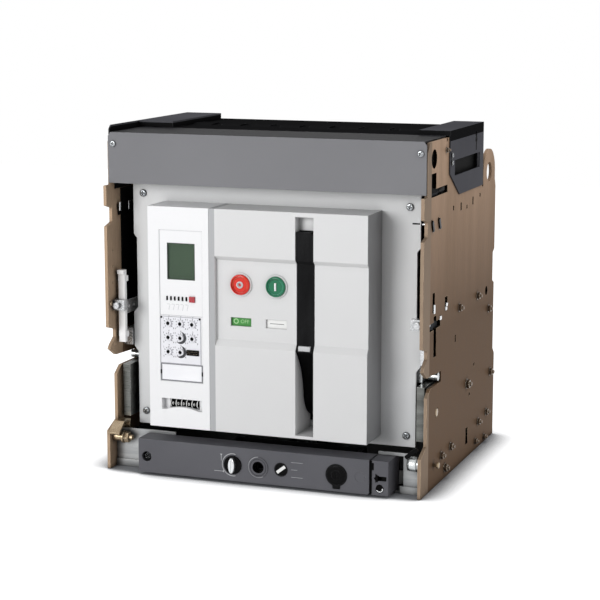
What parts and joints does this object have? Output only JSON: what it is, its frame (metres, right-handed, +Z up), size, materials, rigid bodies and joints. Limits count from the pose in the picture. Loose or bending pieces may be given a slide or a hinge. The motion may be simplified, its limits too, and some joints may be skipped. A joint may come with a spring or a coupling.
{
  "type": "air circuit breaker",
  "caption": "Draw-out low-voltage air circuit breaker in a steel cradle, with trip unit, push buttons, charging handle, racking panel and rear busbar terminals.",
  "frame": {"origin": "centre of the four floor bolts, on the underside of the tray", "axes": "+Z up, -Y to the front panel, +X to the right as seen from the front"},
  "size_m": [0.42, 0.382, 0.432],
  "materials": {
    "plate_yellow_zinc": "yellow chromate on zinc-plated steel sheet",
    "zinc_steel": "bright zinc plating, fine rolled grain",
    "bolt_steel": "yellow zinc-plated bolts",
    "cover_grey": "fine-textured mid grey powder coat",
    "cover_dark": "dark grey semi-matt paint",
    "front_light": "light grey satin",
    "cover_light": "light grey satin moulding",
    "trip_white": "white satin moulding",
    "dial_plate_grey": "printed pale grey plate",
    "panel_grey": "dark grey textured moulding",
    "black_plastic": "black moulding",
    "handle_black": "black grained handle",
    "housing_moulding": "brown-black thermoset moulding",
    "chute_fibre": "arc chute fibre laminate",
    "copper": "tin-flashed copper bar",
    "button_red": "red gloss button",
    "button_green": "green gloss button",
    "flag_green": "green printed flag",
    "flag_white": "white printed flag",
    "key_red": "dark red key",
    "pane": "clear display and rating panes",
    "spring_steel": "oiled spring steel",
    "wheel_black": "black number wheels"
  },
  "bodies": {
    "cradle": {"side_plate_left": "plate_yellow_zinc", "side_plate_right": "plate_yellow_zinc", "base_tray": "zinc_steel", "top_cover": "cover_grey", "control_terminals": "black_plastic", "arc_cover": "cover_dark", "arc_cover_end_left": "cover_dark", "arc_cover_end_right": "cover_dark", "terminal_base": "housing_moulding", "main_terminals": "copper", "contact_clusters": "copper", "drawout_panel": "panel_grey", "racking_housing": "zinc_steel", "lock_block": "panel_grey", "foot_bracket": "bolt_steel", "foot_pins": "bolt_steel", "cradle_fasteners": "bolt_steel", "rail_guides": "zinc_steel", "side_clamps": "zinc_steel", "interlock_bar": "flag_white"},
    "breaker": {"chassis": "zinc_steel", "pole_housing": "housing_moulding", "arc_chutes": "chute_fibre", "primary_stabs": "copper", "closing_springs": "spring_steel", "carrying_pins": "zinc_steel", "front_plate": "front_light", "front_screws": "zinc_steel", "front_cover": "cover_light", "trip_unit": "trip_white", "dial_plate": "dial_plate_grey", "trip_windows": "pane", "test_port": "black_plastic"},
    "rail_left": {"rail_left": "zinc_steel"},
    "rail_right": {"rail_right": "zinc_steel"},
    "racking_screw": {"racking_screw": "zinc_steel"},
    "racking_carriage": {"racking_carriage": "zinc_steel"},
    "release_knob": {"release_knob": "black_plastic"},
    "position_indicator": {"position_indicator": "black_plastic"},
    "key_cylinder": {"key_cylinder": "black_plastic"},
    "lock_plug": {"lock_plug": "zinc_steel"},
    "contact_arms": {"contact_arms": "copper"},
    "main_shaft": {"main_shaft": "zinc_steel"},
    "drive_links": {"drive_links": "chute_fibre"},
    "charging_shaft": {"charging_shaft": "spring_steel"},
    "off_button": {"off_button": "button_red"},
    "on_button": {"on_button": "button_green"},
    "position_flag": {"position_flag": "flag_green"},
    "charge_flag": {"charge_flag": "flag_white"},
    "charging_handle": {"charging_handle": "handle_black"},
    "reset_key": {"reset_key": "key_red"},
    "counter_wheels": {"counter_wheels": "wheel_black"},
    "dial_1": {"dial_1": "dial_plate_grey"},
    "dial_2": {"dial_2": "dial_plate_grey"},
    "dial_3": {"dial_3": "dial_plate_grey"},
    "dial_4": {"dial_4": "dial_plate_grey"},
    "dial_5": {"dial_5": "dial_plate_grey"},
    "dial_6": {"dial_6": "dial_plate_grey"},
    "dial_7": {"dial_7": "dial_plate_grey"},
    "dial_8": {"dial_8": "dial_plate_grey"}
  },
  "joints": [
    {"name": "rail_pull", "type": "slide", "parent": "cradle", "child": "rail_right", "axis": [0, -1, 0], "range_m": [0, 0.2]},
    {"name": "rail_left_pull", "type": "slide", "parent": "cradle", "child": "rail_left", "axis": [0, -1, 0], "range_m": [0, 0.2]},
    {"name": "breaker_racking", "type": "slide", "parent": "rail_right", "child": "breaker", "axis": [0, -1, 0], "range_m": [0, 0.05]},
    {"name": "carriage_travel", "type": "slide", "parent": "cradle", "child": "racking_carriage", "axis": [0, -1, 0], "range_m": [0, 0.05]},
    {"name": "racking_screw_turn", "type": "hinge", "parent": "cradle", "child": "racking_screw", "pos_m": [0.0032, -0.06, 0.0234], "axis": [0, -1, 0], "range_deg": [0, 3601]},
    {"name": "indicator_turn", "type": "hinge", "parent": "cradle", "child": "position_indicator", "pos_m": [0.0328, -0.178, 0.0234], "axis": [0, 1, 0], "range_deg": [0, 120.1]},
    {"name": "release_knob_turn", "type": "hinge", "parent": "cradle", "child": "release_knob", "pos_m": [-0.0303, -0.178, 0.0234], "axis": [0, 1, 0], "range_deg": [0, 90]},
    {"name": "key_turn", "type": "hinge", "parent": "cradle", "child": "key_cylinder", "pos_m": [0.1039, -0.178, 0.0234], "axis": [0, 1, 0], "range_deg": [0, 90]},
    {"name": "lock_plug_turn", "type": "hinge", "parent": "cradle", "child": "lock_plug", "pos_m": [0.1575, -0.172, 0.0115], "axis": [0, 1, 0], "range_deg": [0, 90]},
    {"name": "contact_swing", "type": "hinge", "parent": "breaker", "child": "contact_arms", "pos_m": [0, 0.03, 0.112], "axis": [-1, 0, 0], "range_deg": [0, 18]},
    {"name": "main_shaft_turn", "type": "hinge", "parent": "breaker", "child": "main_shaft", "pos_m": [0, -0.065, 0.154], "axis": [-1, 0, 0], "range_deg": [0, 46.1]},
    {"name": "link_swing", "type": "hinge", "parent": "main_shaft", "child": "drive_links", "pos_m": [0, -0.07594, 0.17977], "axis": [1, 0, 0], "range_deg": [0, 46.1]},
    {"name": "position_flag_shift", "type": "slide", "parent": "breaker", "child": "position_flag", "axis": [0, 0, 1], "range_m": [0, 0.0121]},
    {"name": "charging_turn", "type": "hinge", "parent": "breaker", "child": "charging_shaft", "pos_m": [0.06, -0.114, 0.116], "axis": [1, 0, 0], "range_deg": [0, 180]},
    {"name": "charge_flag_shift", "type": "slide", "parent": "breaker", "child": "charge_flag", "axis": [0, 0, 1], "range_m": [0, 0.0121]},
    {"name": "handle_pull", "type": "hinge", "parent": "breaker", "child": "charging_handle", "pos_m": [0.06075, -0.114, 0.116], "axis": [1, 0, 0], "range_deg": [0, 60], "stiffness_Nm_per_rad": 1.5, "springref_deg": -22.92},
    {"name": "off_press", "type": "slide", "parent": "breaker", "child": "off_button", "axis": [0, 1, 0], "range_m": [0, 0.004], "stiffness_N_per_m": 600, "springref_m": -0.001},
    {"name": "on_press", "type": "slide", "parent": "breaker", "child": "on_button", "axis": [0, 1, 0], "range_m": [0, 0.004], "stiffness_N_per_m": 600, "springref_m": -0.001},
    {"name": "reset_press", "type": "slide", "parent": "breaker", "child": "reset_key", "axis": [0, 1, 0], "range_m": [0, 0.001], "stiffness_N_per_m": 300, "springref_m": -0.0005},
    {"name": "dial_1_turn", "type": "hinge", "parent": "breaker", "child": "dial_1", "pos_m": [-0.1169, -0.176, 0.1937], "axis": [0, 1, 0], "range_deg": [-135, 135]},
    {"name": "dial_2_turn", "type": "hinge", "parent": "breaker", "child": "dial_2", "pos_m": [-0.1009, -0.176, 0.1937], "axis": [0, 1, 0], "range_deg": [-135, 135]},
    {"name": "dial_3_turn", "type": "hinge", "parent": "breaker", "child": "dial_3", "pos_m": [-0.0849, -0.176, 0.1937], "axis": [0, 1, 0], "range_deg": [-135, 135]},
    {"name": "dial_4_turn", "type": "hinge", "parent": "breaker", "child": "dial_4", "pos_m": [-0.1169, -0.176, 0.17595], "axis": [0, 1, 0], "range_deg": [-135, 135]},
    {"name": "dial_5_turn", "type": "hinge", "parent": "breaker", "child": "dial_5", "pos_m": [-0.1009, -0.176, 0.17595], "axis": [0, 1, 0], "range_deg": [-135, 135]},
    {"name": "dial_6_turn", "type": "hinge", "parent": "breaker", "child": "dial_6", "pos_m": [-0.0849, -0.176, 0.17595], "axis": [0, 1, 0], "range_deg": [-135, 135]},
    {"name": "dial_7_turn", "type": "hinge", "parent": "breaker", "child": "dial_7", "pos_m": [-0.1169, -0.176, 0.1582], "axis": [0, 1, 0], "range_deg": [-135, 135]},
    {"name": "dial_8_turn", "type": "hinge", "parent": "breaker", "child": "dial_8", "pos_m": [-0.1009, -0.176, 0.1582], "axis": [0, 1, 0], "range_deg": [-135, 135]},
    {"name": "counter_turn", "type": "hinge", "parent": "breaker", "child": "counter_wheels", "pos_m": [-0.1, -0.1671, 0.09175], "axis": [1, 0, 0], "continuous": true}
  ],
  "couplings": [
    {"joint": "rail_left_pull", "follows": "rail_pull", "ratio": 1},
    {"joint": "carriage_travel", "follows": "breaker_racking", "ratio": 1},
    {"joint": "racking_screw_turn", "follows": "breaker_racking", "rad_per_m": 1256.6},
    {"joint": "indicator_turn", "follows": "breaker_racking", "rad_per_m": 41.888},
    {"joint": "main_shaft_turn", "follows": "contact_swing", "ratio": 2.5556},
    {"joint": "link_swing", "follows": "contact_swing", "ratio": 2.5556},
    {"joint": "position_flag_shift", "follows": "contact_swing", "m_per_rad": 0.038197},
    {"joint": "charge_flag_shift", "follows": "charging_turn", "m_per_rad": 0.0038197}
  ]
}
